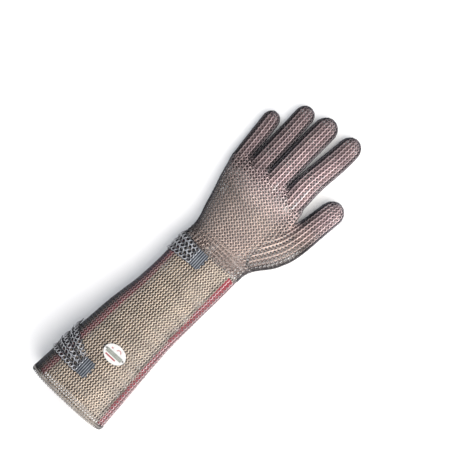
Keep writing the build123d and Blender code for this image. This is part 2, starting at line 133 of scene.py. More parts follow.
DIGITS = {
    "index": digit((24.4, 74.0, 22, 20), [
        (98, 14.0, 39.8), (110, 12.9, 40.6), (122, 12.9, 40.2), (132, 14.0, 40.6), (142, 15.6, 41.6),
        (152, 16.9, 43.0), (170, 19.4, 44.6), (182, 20.8, 44.4), (193.2, 21.8, 45.0)],
        ([24, 45, 70, 95, 120], [22.0, 21.0, 20.6, 19.4, 18.4]), 32),
    "middle": digit((-3.0, 72.0, 22, 20), [
        (98, -12.6, 11.8), (115, -12.6, 12.7), (130, -12.4, 13.0), (145, -12.2, 13.2), (158, -12.0, 13.6),
        (168, -11.6, 14.0), (178, -11.0, 14.2), (191.8, -10.4, 14.0)],
        ([24, 45, 70, 95, 120], [22.0, 21.4, 20.8, 19.4, 18.6]), 32),
    "ring": digit((-23.6, 70.0, 18, 20), [
        (94, -33.6, -13.2), (108, -34.2, -12.6), (125, -34.2, -12.4), (145, -34.0, -12.4), (158, -33.8, -12.8),
        (168, -33.9, -13.3), (185.4, -33.8, -13.2)],
        ([22, 45, 70, 90, 116], [21.0, 20.0, 19.4, 18.4, 17.6]), 28),
    "little": digit((-30.0, 62.0, 10, 18), [
        (92, -48.6, -34.2), (105, -51.4, -34.4), (120, -52.6, -34.6), (132, -53.6, -35.0), (142, -54.4, -35.8),
        (150, -55.0, -36.8), (158.2, -55.6, -37.8)],
        ([32, 50, 70, 99], [18.4, 17.4, 16.8, 16.0]), 24),
    "thumb": dict(line=[(20.0, 12.0), (28.0, 23.0), (37.0, 35.0), (46.0, 48.5), (53.6, 63.0), (57.8, 80.0),
                        (61.0, 102.0), (66.0, 134.0)],
                  s=[0, 13.6, 28.6, 45, 61, 79, 101, 133], w=[12, 19, 27.5, 31.5, 30.5, 28.0, 26.4, 25.0],
                  h=[30, 33, 34.0, 32.0, 29.0, 25.6, 23.0, 20.0], rows=36),
}
EXP = 2.3


class Tube:
    """A tube of rounded section along a plane centre line, with a domed far end."""

    def __init__(self, name, line, s, w, h, rows):
        self.name, self.rows = name, rows
        line = np.array(line, float)
        seg = np.hypot(*np.diff(line, axis=0).T)
        at = np.concatenate([[0], np.cumsum(seg)])
        self.s = np.arange(0, at[-1] + 1e-6, 0.5)
        x, y = np.interp(self.s, at, line[:, 0]), np.interp(self.s, at, line[:, 1])
        if len(line) > 3:
            x, y = smooth(x, 4.0), smooth(y, 4.0)
        elif len(line) == 3:
            x, y = smooth(x, 3.0), smooth(y, 3.0)
        self.c = np.stack([x, y], 1)
        t = np.gradient(self.c, axis=0)
        self.t = t / np.linalg.norm(t, axis=1)[:, None]
        self.length = self.s[-1]
        self.a = smooth(np.interp(self.s, s, w), 3.0) / 2
        self.b = smooth(np.interp(self.s, s, h), 3.0) / 2
        self.zc = self.b + 3.0 * np.clip(1 - self.s / 26.0, 0, 1) ** 2
        if name != "thumb":
            # the finger's mail rides up over the knuckle
            knuckle = self.s[int(np.abs(self.c[:, 1] - 101.0).argmin())]
            self.zc += 1.7 * np.exp(-((self.s - knuckle) / 10.0) ** 2)
        self.dome = 1.12 * self.a[-1]
        self.s0 = self.length - self.dome

    def local(self, p, k=None):
        """(index, overshoot along, lateral, height from centre) of points."""
        if k is None:
            d = ((p[:, None, :2] - self.c[None, ::4]) ** 2).sum(2)
            k = d.argmin(1) * 4
            for span in (2, 1):
                best = k.copy()
                bd = ((p[:, :2] - self.c[k]) ** 2).sum(1)
                for off in (-span, span):
                    kk = np.clip(k + off, 0, len(self.s) - 1)
                    dd = ((p[:, :2] - self.c[kk]) ** 2).sum(1)
                    m = dd < bd
                    best[m], bd[m] = kk[m], dd[m]
                k = best
        rel = p[:, :2] - self.c[k]
        t = self.t[k]
        along = (rel * t).sum(1)
        lat = rel[:, 0] * t[:, 1] - rel[:, 1] * t[:, 0]
        return k, along, lat, p[:, 2] - self.zc[k]

    def sdf(self, p):
        k, along, u, v = self.local(p)
        s = self.s[k] + along
        over = np.clip(s - self.s0, 0, None) / self.dome
        under = np.clip(-s, 0, None) / (0.8 * self.a[0])
        a, b = self.a[k], self.b[k]
        g = ((np.abs(u) / a) ** EXP + (np.abs(v) / b) ** EXP) ** (1 / EXP)
        g = np.sqrt(g ** 2 + over ** 2 + under ** 2)
        g = np.maximum(g, 1e-3)
        r = np.sqrt(u ** 2 + v ** 2 + (over * self.dome) ** 2 + (under * 0.8 * self.a[0]) ** 2)
        return r * (1 - 1 / g)

    def lattice(self, start, pitch, inset):
        """Ring seats: position, row direction, row number, station along."""
        ang = np.linspace(0, 2 * np.pi, 721)
        ca, sa = np.cos(ang), np.sin(ang)
        # profile: station along and section scale, by length along the surface
        n = 60
        over = np.sin(np.linspace(0, np.pi / 2, n))
        prof_s = np.concatenate([np.arange(start, self.s0, 0.5), self.s0 + self.dome * over])
        prof_k = np.concatenate([np.ones(len(prof_s) - n), np.sqrt(np.clip(1 - over ** 2, 0, 1))])
        mean_r = 0.5 * (self.a[-1] + self.b[-1])
        run = np.concatenate([[0], np.cumsum(np.hypot(np.diff(prof_s), np.diff(prof_k) * mean_r))])
        seats = []
        for row in range(self.rows):
            runs = np.arange((row % 2) * pitch / 2, run[-1] - 0.3, pitch)
            for rr in runs:
                s = np.interp(rr, run, prof_s)
                k = np.interp(rr, run, prof_k)
                i = min(int(round(s / 0.5)), len(self.s) - 1)
                a, b = self.a[i] - inset, self.b[i] - inset
                ex = np.sign(ca) * np.abs(ca) ** (2 / EXP) * a
                ez = np.sign(sa) * np.abs(sa) ** (2 / EXP) * b
                arc = np.concatenate([[0], np.cumsum(np.hypot(np.diff(ex), np.diff(ez)))])
                f = (row + (0.61 if row % 2 == 0 else 0.39)) / self.rows * arc[-1]
                u, v = np.interp(f, arc, ex) * k, np.interp(f, arc, ez) * k
                t = self.t[i]
                c = self.c[i] + t * (s - self.s[i])
                nrm = np.array([t[1], -t[0]])
                xy = c + nrm * u
                # row direction: forward along the tube, curling in over the dome
                s2, k2 = np.interp(rr + 1, run, prof_s), np.interp(rr + 1, run, prof_k)
                if rr + 1 > run[-1]:
                    s2, k2 = s, k - 0.1
                base = k if k > 1e-3 else 1e-3
                d = np.array([t[0] * (s2 - s) + nrm[0] * u * (k2 / base - 1),
                              t[1] * (s2 - s) + nrm[1] * u * (k2 / base - 1), v * (k2 / base - 1)])
                seats.append((xy[0], xy[1], self.zc[i] + v, *d, row, s, 1.0))
        return np.array(seats)


class Arm:
    """Hand and cuff: sections across Y."""

    def row_index(self, y):
        return np.clip((y - ARM_Y[0]) / STEP, 0, len(ARM_Y) - 1.001)

    def at(self, y):
        i = self.row_index(y)
        k = i.astype(int)
        f = i - k
        return [c[k] * (1 - f) + c[k + 1] * f for c in (ARM_L, ARM_R, ARM_H, ARM_N)]

    def sdf(self, p):
        left, right, height, n = self.at(p[:, 1])
        a, b = (right - left) / 2, height / 2
        u, v = p[:, 0] - (left + right) / 2, p[:, 2] - b
        over = np.clip(p[:, 1] - 96.0, 0, None) / 16.0
        g = ((np.abs(u) / a) ** n + (np.abs(v) / b) ** n + over ** n) ** (1 / n)
        g = np.maximum(g, 1e-3)
        r = np.sqrt(u ** 2 + v ** 2)
        # a broad flat section: measure the way out along the steeper of the two directions
        gx = (np.abs(u) / a) ** (n - 1) / a
        gz = (np.abs(v) / b) ** (n - 1) / b
        go = over ** (n - 1) / 16.0
        grad = np.sqrt(gx ** 2 + gz ** 2 + go ** 2) * g ** (1 - n)
        return (g - 1) / np.maximum(grad, 1e-3)

    def lattice(self, y0, y1, rows, pitch, inset, shift=0.0, warp=None, spacing=None):
        ang = np.linspace(-np.pi / 2, 1.5 * np.pi, 1441)
        ca, sa = np.cos(ang), np.sin(ang)
        seats = []
        stations = {}
        for row in range(rows):
            for y in np.arange(y0 + (row % 2) * pitch / 2 + shift, y1 + 1e-6, pitch):
                key = round(float(y), 3)
                if key not in stations:
                    left, right, height, n = [float(v[0]) for v in self.at(np.array([y]))]
                    a, b = (right - left) / 2 - inset, height / 2 - inset
                    ex = np.sign(ca) * np.abs(ca) ** (2 / n) * a
                    ez = np.sign(sa) * np.abs(sa) ** (2 / n) * b
                    arc = np.concatenate([[0], np.cumsum(np.hypot(np.diff(ex), np.diff(ez)))])
                    stations[key] = (ex + (left + right) / 2, ez + height / 2, arc)
                ex, ez, arc = stations[key]
                f = (row + 0.5) / rows
                if spacing:
                    f = 0.5 + (row + 0.5 - rows / 2) * spacing / arc[-1]
                    if not 0.002 < f < 0.998:
                        continue
                dx = dz = 0.0
                tight = 1.0
                if warp:
                    f0, f1 = warp(y, f), warp(y + 0.5, f)
                    tight = (warp(y, f + 0.01) - f0) / 0.01
                    # towards the fingers the rows stand in pairs, as they do along the fingers
                    pair = 0.14 * min(max((y - 86) / 20, 0), 1)
                    dx = (np.interp(f1 * arc[-1], arc, ex) - np.interp(f0 * arc[-1], arc, ex)) / 0.5
                    dz = (np.interp(f1 * arc[-1], arc, ez) - np.interp(f0 * arc[-1], arc, ez)) / 0.5
                    f = f0 + pair * (1 if row % 2 == 0 else -1) / rows
                f *= arc[-1]
                seats.append((np.interp(f, arc, ex), y, np.interp(f, arc, ez), dx, 1.0, dz, row, y, tight))
        return np.array(seats)


arm = Arm()
tubes = {name: Tube(name, **d) for name, d in DIGITS.items()}


def smin(a, b, k):
    h = np.clip(0.5 + 0.5 * (b - a) / k, 0, 1)
    return b * (1 - h) + a * h - k * h * (1 - h)


FILLET = {"index": 5.0, "middle": 5.0, "ring": 5.0, "little": 5.0, "thumb": 9.0}


def shape(p):
    """Distance to the glove's surface, all parts joined softly at their roots."""
    h = arm.sdf(p)
    out = h.copy()
    for name, tube in tubes.items():
        out = np.minimum(out, smin(h, tube.sdf(p), FILLET[name]))
    return out


def gradient(f, p, e=0.15):
    g = np.stack([f(p + np.eye(3)[i] * e) - f(p - np.eye(3)[i] * e) for i in range(3)], 1) / (2 * e)
    return g


def project(p, level, steps=4):
    p = p.copy()
    for _ in range(steps):
        g = gradient(shape, p)
        gg = np.maximum((g ** 2).sum(1), 0.15)
        d = shape(p) + level
        p -= (np.clip(d, -2.5, 2.5) / gg)[:, None] * g
    g = gradient(shape, p)
    return p, g / np.linalg.norm(g, axis=1)[:, None]


# ------------------------------------------------------------------ ring seats of every region
HAND_Y0 = 6.0
HAND_ROWS, CUFF_ROWS = 96, 190
LEAN = {"hand": 14.0, "cuff": 28.0, "digit": 27.0}     # degrees, to alternate sides row by row
INSET, CUFF_INSET, DIGIT_INSET = 0.95, 1.30, 1.15      # ring centres below the mail's outer surface


def drawn(y, f):
    """Rows are drawn together and sideways towards the wrist strap."""
    k = np.clip((27.0 - y) / 21.0, 0, 1)
    k = k * k * (3 - 2 * k)
    return f - 0.56 * k * np.sin(2 * np.pi * (f - 0.63)) / (2 * np.pi)


hand_seats = arm.lattice(HAND_Y0 + 1.0, 111.0, HAND_ROWS, PITCH, INSET, warp=drawn)

cuff_seats = arm.lattice(-191.0, HAND_Y0 - 0.5, CUFF_ROWS, 3.9, CUFF_INSET, spacing=1.58)
# the thumb side's stay shows through: only one row in four runs over it
left, right, height, _n = arm.at(cuff_seats[:, 1])


def stay_span(side, y):
    """Inner and outer edge of a stay in plan."""
    if side > 0:
        ys = [-190, -140, -94, 4]
        return np.interp(y, ys, [33.0, 31.2, 29.5, 31.5]), np.interp(y, ys, [40.5, 38.4, 36.4, 39.5])
    ys = [-190, -135, -100, -60, 4]
    return (np.interp(y, ys, [-43.0, -39.0, -35.8, -32.0, -30.5]),
            np.interp(y, ys, [-37.0, -33.0, -29.8, -26.0, -24.5]))


cx, cy, cz, crow = cuff_seats[:, 0], cuff_seats[:, 1], cuff_seats[:, 2], cuff_seats[:, 6].astype(int)
over_stay = np.zeros(len(cuff_seats), bool)
for side in (1,):
    a, b = stay_span(side, cy)
    over_stay |= (cx > a) & (cx < b) & (cz > height * 0.5) & (cy < 4) & (cy > -189)
cuff_seats = cuff_seats[~(over_stay & (crow % 4 != 0))]

seats, owner = [hand_seats, cuff_seats], [np.zeros(len(hand_seats), int), np.ones(len(cuff_seats), int)]
NAMES = ["hand", "cuff"]
for name, tube in tubes.items():
    t = tube.lattice(4.0, PITCH, DIGIT_INSET)
    seats.append(t)
    owner.append(np.full(len(t), len(NAMES)))
    NAMES.append(name)
seats, owner = np.concatenate(seats), np.concatenate(owner)
pos, along = seats[:, :3].copy(), seats[:, 3:6].copy()
row, station, tight = seats[:, 6].astype(int), seats[:, 7], seats[:, 8]

# a seat stays with the part whose surface it is on
own = np.stack([arm.sdf(pos)] + [t.sdf(pos) for t in tubes.values()], 1)
keep = np.ones(len(pos), bool)
MARGIN = 1.1
for i, name in enumerate(NAMES):
    m = owner == i
    mine = 0 if i < 2 else i - 1
    for j in range(own.shape[1]):
        if j == mine:
            continue
        if mine > 0 and j > 0:
            keep[m] &= own[m, j] > -0.2
        elif mine == 0 and 1 <= j <= 4:
            keep[m] &= (own[m, j] > -MARGIN) | (pos[m, 1] < 94)
        else:
            keep[m] &= own[m, j] > -MARGIN
keep &= ~((owner >= 2) & (own[:, 0] < 0.3) & (pos[:, 1] < np.where(owner == NAMES.index("thumb"), 46, 94)))
pos, along, row, station, owner, tight = [v[keep] for v in (pos, along, row, station, owner, tight)]

level = np.where(owner == 1, CUFF_INSET, np.where(owner == 0, INSET, DIGIT_INSET))
pos, normal = project(pos, level)

# thin out seats that crowd each other at the seams and fingertips
order = np.argsort(np.where(owner >= 2, 0, 1), kind="stable")
tree = KDTree(len(pos))
for i, p in enumerate(pos):
    tree.insert(p, i)
tree.balance()
gone = np.zeros(len(pos), bool)
for i in order:
    if gone[i]:
        continue
    for _, j, _d in tree.find_range(pos[i], 1.3 if owner[i] == 0 and pos[i][1] < 34 else 1.85):
        if j != i and not gone[j]:
            gone[j] = True
pos, along, row, station, owner, normal, tight = [
    v[~gone] for v in (pos, along, row, station, owner, normal, tight)]

# hinge points: knuckle, middle joint, tip joint
HINGES = {
    "index": [(26.637, 103.85), (29.852, 146.864), (31.715, 171.794)],
    "middle": [(-0.942, 100.899), (0.498, 145.474), (1.321, 170.961)],
    "ring": [(-23.845, 98.449), (-23.484, 140.498), (-23.278, 164.497)],
    "little": [(-42.438, 96.459), (-44.724, 123.883), (-46.135, 140.824)],
    "thumb": [(57.925, 83.761), (61.663, 106.455)],
}


def station_on(tube, xy):
    k = int(((tube.c - np.array(xy)) ** 2).sum(1).argmin())
    return float(tube.s[k] + ((np.array(xy) - tube.c[k]) * tube.t[k]).sum())


# a second layer lies under the back of each finger joint, and comes into view as the mail over it spreads
hidden = []
for i, (name, tube) in enumerate(tubes.items()):
    t = tube.lattice(4.0 + PITCH / 2, PITCH, DIGIT_INSET + 1.25)
    at = [station_on(tube, xy) for xy in HINGES[name]]
    reach = [(-6, 21), (-11, 11), (-9, 9)] if name != "thumb" else [(-10, 10), (-9, 9)]
    near_joint = np.zeros(len(t), bool)
    for p, (lo, hi) in zip(at, reach):
        near_joint |= (t[:, 7] > p + lo) & (t[:, 7] < p + hi)
    t = t[near_joint]
    n = np.stack([(tube.sdf(t[:, :3] + d) - tube.sdf(t[:, :3] - d)) for d in np.eye(3) * 0.3], 1)
    n /= np.maximum(np.linalg.norm(n, axis=1), 1e-6)[:, None]
    ok = n[:, 2] > -0.25
    for other in tubes.values():
        if other is not tube:
            ok &= other.sdf(t[:, :3]) > 0.4
    hidden.append((t[ok], n[ok], np.full(ok.sum(), i + 2)))
under_layer = np.concatenate([np.zeros(len(pos), bool), np.ones(sum(len(h[0]) for h in hidden), bool)])
extra = np.concatenate([h[0] for h in hidden])
pos, along = np.concatenate([pos, extra[:, :3]]), np.concatenate([along, extra[:, 3:6]])
row, station = np.concatenate([row, extra[:, 6].astype(int)]), np.concatenate([station, extra[:, 7]])
tight, normal = np.concatenate([tight, extra[:, 8]]), np.concatenate([normal] + [h[1] for h in hidden])
owner = np.concatenate([owner] + [h[2] for h in hidden])
print("rings", len(pos), {n: int((owner == i).sum()) for i, n in enumerate(NAMES)}, "second layer", int(under_layer.sum()))

# ------------------------------------------------------------------ which piece each ring belongs to
# piece -> (body, or (body a, body b, start, end)), CAD nodes it stands for
JOINT_AT = {}


def station_of(name, xy):
    return station_on(tubes[name], xy)


piece = np.empty(len(pos), object)
X, Y, Z = pos[:, 0], pos[:, 1], pos[:, 2]
hand = owner == 0
piece[hand] = np.where(normal[hand, 2] > 0, "hand_back_rings", "hand_palm_rings")
piece[hand & (Y > 97)] = "knuckle_rings"
piece[hand & (X > 33) & (Y > 40) & (Y <= 97)] = "thumb_root_rings"
piece[hand & (Y <= 40)] = "wrist_bend_rings"
piece[hand & (Y <= 21)] = "wrist_side_rings"
cuff = owner == 1
edges = [-200, -152, -112, -72, -32, 10]
for n in range(5):
    band = cuff & (Y > edges[n]) & (Y <= edges[n + 1])
    piece[band & (normal[:, 2] > 0)] = f"cuff_top_rings_{5 - n}"
    piece[band & (normal[:, 2] <= 0)] = f"cuff_under_rings_{5 - n}"
for name in ("index", "middle", "ring", "little"):
    i = NAMES.index(name)
    m = owner == i
    tube = tubes[name]
    p0, p1, p2 = [station_of(name, xy) for xy in HINGES[name]]
    JOINT_AT[name] = (p0, p1, p2)
    reach = 10.0 if name != "little" else 8.0
    piece[m] = f"{name}_lower_rings"
    piece[m & (station > p1 - reach - 0.4)] = f"{name}_middle_rings"
    piece[m & (station > p2 - 8.4)] = f"{name}_tip_rings"
    first = station[m & ~under_layer].min()
    print(name, "stations", round(p0, 1), round(p1, 1), round(p2, 1), "first", round(float(first), 1),
          "first on the back", round(float(station[m & ~under_layer & (normal[:, 2] > 0.8)].min()), 1))
i = NAMES.index("thumb")
m = owner == i
T_MCP, T_IP = [station_of("thumb", xy) for xy in HINGES["thumb"]]
piece[m] = "thumb_root_rings"
piece[m & (station > T_MCP - 11)] = "thumb_lower_rings"
piece[m & (station > (T_MCP + T_IP) / 2)] = "thumb_tip_rings"
piece[m & (Y < 40)] = "wrist_bend_rings"


def tube_point(name, s, z):
    t = tubes[name]
    k = int(np.clip(round(s / 0.5), 0, len(t.s) - 1))
    return to_world((t.c[k][0] + t.t[k][0] * (s - t.s[k]), t.c[k][1] + t.t[k][1] * (s - t.s[k]), z))


def span(name, s, half=7.0, z=8.0):
    return tube_point(name, s - half, z), tube_point(name, s + half, z)


def knuckle_span(name, s, z=8.0):
    return tube_point(name, s + 0.5, z), tube_point(name, s + 18.5, z)


PLAN = {
    "hand_back_rings": ("hand", ["hand_back_mail"]),
    "hand_palm_rings": ("hand", ["hand_palm_mail"]),
    "knuckle_rings": ("hand", ["knuckle_mail"]),
    "wrist_bend_rings": (("hand", "wrist", to_world((4, 38.5, 19)), to_world((4, 22.5, 19))),
                         ["wrist_bend_gusset", "wrist_mail"]),
    "wrist_side_rings": (("cuff", "wrist", to_world((4, 6.5, 19)), to_world((4, 21.0, 19))),
                         ["wrist_side_gusset"]),
    "thumb_root_rings": (("hand", "thumb_base", to_world((35, 60, 14)), to_world((53, 60, 14))),
                         ["thumb_base_mail", "thumb_root_mail"]),
    "thumb_lower_rings": (("thumb_base", "thumb_lower", *span("thumb", T_MCP, 9.0)),
                          ["thumb_lower_mail", "thumb_knuckle_gusset"]),
    "thumb_tip_rings": (("thumb_lower", "thumb_tip", *span("thumb", T_IP, 8.0)),
                        ["thumb_tip_mail", "thumb_tip_gusset"]),
}
for n in range(1, 6):
    PLAN[f"cuff_top_rings_{n}"] = ("cuff", ["cuff_top_mail"])
    PLAN[f"cuff_under_rings_{n}"] = ("cuff", ["cuff_under_mail"])
for name in ("index", "middle", "ring", "little"):
    p0, p1, p2 = JOINT_AT[name]
    PLAN[f"{name}_lower_rings"] = (("hand", f"{name}_lower", *knuckle_span(name, p0)), [f"{name}_lower_mail"])
    PLAN[f"{name}_middle_rings"] = ((f"{name}_lower", f"{name}_middle", *span(name, p1, 10.0 if name != "little" else 8.0)),
                                    [f"{name}_middle_mail", f"{name}_middle_gusset"])
    PLAN[f"{name}_tip_rings"] = ((f"{name}_middle", f"{name}_tip", *span(name, p2, 8.0)),
                                 [f"{name}_tip_mail", f"{name}_tip_gusset"])


# ------------------------------------------------------------------ materials
def nodes_of(name):
    mat = bpy.data.materials.new(name)
    mat.use_nodes = True
    nt = mat.node_tree
    nt.nodes.clear()
    out = nt.nodes.new("ShaderNodeOutputMaterial")
    bsdf = nt.nodes.new("ShaderNodeBsdfPrincipled")
    nt.links.new(bsdf.outputs[0], out.inputs[0])
    return mat, nt, bsdf


def ramp(nt, stops, source):
    r = nt.nodes.new("ShaderNodeValToRGB")
    els = r.color_ramp.elements
    while len(els) > len(stops):
        els.remove(els[-1])
    while len(els) < len(stops):
        els.new(0.5)
    for e, (at, col) in zip(els, stops):
        e.position = at
        e.color = (*col, 1)
    nt.links.new(source, r.inputs[0])
    return r.outputs[0]


def noise(nt, scale, detail=4, distortion=0.0, stretch=None):
    n = nt.nodes.new("ShaderNodeTexNoise")
    n.inputs["Scale"].default_value = scale
    n.inputs["Detail"].default_value = detail
    n.inputs["Distortion"].default_value = distortion
    coord = nt.nodes.new("ShaderNodeTexCoord")
    if stretch:
        m = nt.nodes.new("ShaderNodeMapping")
        m.inputs["Scale"].default_value = stretch
        nt.links.new(coord.outputs["Object"], m.inputs[0])
        nt.links.new(m.outputs[0], n.inputs["Vector"])
    else:
        nt.links.new(coord.outputs["Object"], n.inputs["Vector"])
    return n.outputs["Fac"]


def math_node(nt, op, a, b):
    n = nt.nodes.new("ShaderNodeMath")
    n.operation = op
    for i, v in enumerate((a, b)):
        if isinstance(v, (int, float)):
            n.inputs[i].default_value = v
        else:
            nt.links.new(v, n.inputs[i])
    return n.outputs[0]


def mix(nt, fac, a, b, blend_type="MIX"):
    n = nt.nodes.new("ShaderNodeMix")
    n.data_type = "RGBA"
    n.blend_type = blend_type
    sock = {"f": n.inputs[0], "a": n.inputs[6], "b": n.inputs[7]}
    for key, v in (("f", fac), ("a", a), ("b", b)):
        if isinstance(v, (int, float)):
            sock[key].default_value = v
        elif isinstance(v, tuple):
            sock[key].default_value = (*v, 1)
        else:
            nt.links.new(v, sock[key])
    return n.outputs[2]


def ring_steel(name, rough, metallic):
    """Steel wire: a colour for each ring, with painted shade where the wire lies deep in the weave."""
    mat, nt, bsdf = nodes_of(name)
    attr = nt.nodes.new("ShaderNodeAttribute")
    attr.attribute_name = "ring_colour"
    deep = nt.nodes.new("ShaderNodeAttribute")
    deep.attribute_name = "ring_depth_shade"
    cloud = noise(nt, 70.0, 4)
    fine = noise(nt, 2600.0, 2)
    wear = math_node(nt, "ADD", math_node(nt, "MULTIPLY", cloud, 0.5), math_node(nt, "MULTIPLY", fine, 0.25))
    col = mix(nt, 1.0, attr.outputs["Color"],
              ramp(nt, [(0.20, (0.72, 0.72, 0.74)), (0.38, (1.0, 1.0, 1.0)), (0.60, (1.22, 1.20, 1.17))], wear), "MULTIPLY")
    # painted shade: the deeper the wire lies in the weave, the darker its colour
    depth_shade = ramp(nt, [(0.0, (0.16, 0.16, 0.17)), (0.35, (0.42, 0.41, 0.41)), (0.62, (0.92, 0.92, 0.92)),
                     (1.0, (1.06, 1.06, 1.06))], deep.outputs["Fac"])
    nt.links.new(mix(nt, 1.0, col, depth_shade, "MULTIPLY"), bsdf.inputs["Base Color"])
    bsdf.inputs["Metallic"].default_value = metallic
    r = math_node(nt, "ADD", math_node(nt, "MULTIPLY", fine, 0.16), rough - 0.08)
    nt.links.new(r, bsdf.inputs["Roughness"])
    bump = nt.nodes.new("ShaderNodeBump")
    bump.inputs["Strength"].default_value = 0.12
    bump.inputs["Distance"].default_value = 0.00004
    nt.links.new(fine, bump.inputs["Height"])
    nt.links.new(bump.outputs[0], bsdf.inputs["Normal"])
    return mat


steel = ring_steel("steel_rings", 0.46, 0.85)
strap_steel = ring_steel("strap_rings", 0.38, 0.9)


# ------------------------------------------------------------------ ring meshes
def ring_mesh(name, centre, axis_row, axis_normal, out, radius, wire, colour, end_shade=0.0, major=MAJOR, minor=MINOR):
    """One mesh of many rings. axis_row lies in each ring's plane; axis_normal is its axis; out points out
    of the mail."""
    n = len(centre)
    e1 = axis_row
    e2 = np.cross(axis_normal, e1)
    th = np.arange(major) / major * 2 * np.pi
    ps = np.arange(minor) / minor * 2 * np.pi
    radial = np.cos(th)[None, :, None] * e1[:, None] + np.sin(th)[None, :, None] * e2[:, None]   # n, major, 3
    ring = centre[:, None] + radial * radius
    v = (ring[:, :, None] + wire * (np.cos(ps)[None, None, :, None] * radial[:, :, None]
                                    + np.sin(ps)[None, None, :, None] * axis_normal[:, None, None]))
    depth = ((v - centre[:, None, None]) * out[:, None, None]).sum(-1) / (radius + wire) / 1.3 + 0.5
    # painted shade: the wire at either end of each ring along the row, where it lies under the neighbouring rings,
    # counts as deeper and so darker
    depth -= np.broadcast_to(end_shade, (n,))[:, None, None] * (np.abs(np.cos(th)) ** 3)[None, :, None]
    v = to_world(v.reshape(-1, 3))
    ia, ib = np.meshgrid(np.arange(major), np.arange(minor), indexing="ij")
    na, nb = (ia + 1) % major, (ib + 1) % minor
    quad = np.stack([ia * minor + ib, na * minor + ib, na * minor + nb, ia * minor + nb], -1).reshape(-1, 4)
    per = major * minor
    faces = (quad[None] + (np.arange(n) * per)[:, None, None]).reshape(-1, 4)
    me = bpy.data.meshes.new(name)
    me.vertices.add(len(v))
    me.vertices.foreach_set("co", v.astype(np.float32).ravel())
    me.loops.add(len(faces) * 4)
    me.loops.foreach_set("vertex_index", faces.astype(np.int32).ravel())
    me.polygons.add(len(faces))
    me.polygons.foreach_set("loop_start", (np.arange(len(faces)) * 4).astype(np.int32))
    me.polygons.foreach_set("use_smooth", np.ones(len(faces), bool))
    me.update(calc_edges=True)
    # each ring has its own cell of the surface map
    cols = int(math.ceil(math.sqrt(n)))
    cell = np.arange(n)
    ox, oy = (cell % cols) / cols, (cell // cols) / cols
    cu = np.stack([ia, ia + 1, ia + 1, ia], -1).reshape(-1, 4) / major
    cv = np.stack([ib, ib, ib + 1, ib + 1], -1).reshape(-1, 4) / minor
    u = ox[:, None, None] + (0.06 + 0.88 * cu[None]) / cols
    w = oy[:, None, None] + (0.06 + 0.88 * cv[None]) / cols
    uv = me.uv_layers.new(name="OFBake")
    uv.data.foreach_set("uv", np.stack([u, w], -1).astype(np.float32).ravel())
    shades = me.attributes.new("ring_colour", "FLOAT_COLOR", "POINT")
    rgba = np.concatenate([colour, np.ones((n, 1))], 1)
    shades.data.foreach_set("color", np.repeat(rgba, per, axis=0).astype(np.float32).ravel())
    depths = me.attributes.new("ring_depth_shade", "FLOAT", "POINT")
    depths.data.foreach_set("value", np.clip(depth, 0, 1).astype(np.float32).ravel())
    ob = bpy.data.objects.new(name, me)
    bpy.context.scene.collection.objects.link(ob)
    return ob


def lean_axes(normal, direction, row, lean, jitter):
    """In-plane row axis and ring axis of rings that lean to alternate sides, row by row."""
    d = direction - (direction * normal).sum(1)[:, None] * normal
    d /= np.maximum(np.linalg.norm(d, axis=1), 1e-6)[:, None]
    t = np.cross(normal, d)
    ang = np.radians(lean) * np.where(row % 2 == 0, 1, -1) + rng.normal(0, math.radians(jitter), len(normal))
    turn = rng.normal(0, math.radians(jitter * 0.8), len(normal))
    d2 = d * np.cos(turn)[:, None] + t * np.sin(turn)[:, None]
    t2 = np.cross(normal, d2)
    axis = normal * np.cos(ang)[:, None] + t2 * np.sin(ang)[:, None]
    tip = rng.normal(0, math.radians(jitter * 0.8), len(normal))
    axis2 = axis * np.cos(tip)[:, None] + d2 * np.sin(tip)[:, None]
    d3 = d2 - (d2 * axis2).sum(1)[:, None] * axis2
    d3 /= np.linalg.norm(d3, axis=1)[:, None]
    return d3, axis2 / np.linalg.norm(axis2, axis=1)[:, None]


lean = np.where(owner == 1, LEAN["cuff"], np.where(owner == 0, LEAN["hand"], LEAN["digit"]))
# rows that are drawn together lean more, and fold into small pleats two rows wide
drawn_in = np.where((owner == 0) & (normal[:, 2] > -0.2), np.clip((0.95 - tight) / 0.36, 0, 1), 0)
lean = np.where(owner == 0, lean + 14 * np.clip((Y - 84) / 20, 0, 1) + 20 * drawn_in + 6 * np.clip((30 - Y) / 18, 0, 1), lean)
lean = np.where((owner == 0) & (X > 26), np.maximum(lean, 15 + (X - 26)), lean)
ring_row, ring_axis = lean_axes(normal, along, row, lean, 1.6)
pleat = np.where(row // 2 % 2 == 0, 1.0, -1.0)
stagger = ((row * 0.618) % 1.0 - 0.5) * 2.6 * drawn_in
pos = pos + normal * (0.95 * pleat * drawn_in - 0.55 * drawn_in)[:, None] + ring_row * (stagger * (Y > 9.5))[:, None]
pos = pos + rng.normal(0, 0.03, pos.shape)

# rings that would reach below the table are lifted on to it
lowest = pos[:, 2] - RING_R * np.sqrt(np.clip(1 - ring_axis[:, 2] ** 2, 0, 1)) - WIRE
pos[:, 2] += np.clip(0.02 - lowest, 0, None)


def between(a, b, k):
    return a + (b - a) * np.clip(k, 0, 1)[:, None]


# painted light and shade: bright warm steel on the flat of the hand and cuff, painted darker and cooler down the sides
WARM = np.array([0.63, 0.505, 0.450])
ROSE = np.array([0.68, 0.520, 0.525])
SAND = np.array([0.70, 0.612, 0.535])
SIDE_SHADE_COOL = np.array([0.150, 0.155, 0.175])
base = np.tile(WARM, (len(pos), 1))
base = np.where((owner == 1)[:, None], SAND, base)
base = between(base, ROSE, np.where(owner == 1, 0, np.clip((Y - 68) / 42, 0, 1)))
side, up = normal[:, 0], normal[:, 2]
edge = np.clip((0.95 - up) / 0.50, 0, 1)
edge = np.where(side < 0, edge ** 0.85, edge * 0.88)
# the web between hand and thumb is stretched flat and takes less painted side shade
web = np.clip((X - 36) / 6, 0, 1) * np.clip((Y - 52) / 12, 0, 1) * np.clip((100 - Y) / 8, 0, 1) * ((owner == 0) & (up > 0.2))
edge = edge * (1 - 0.8 * web)
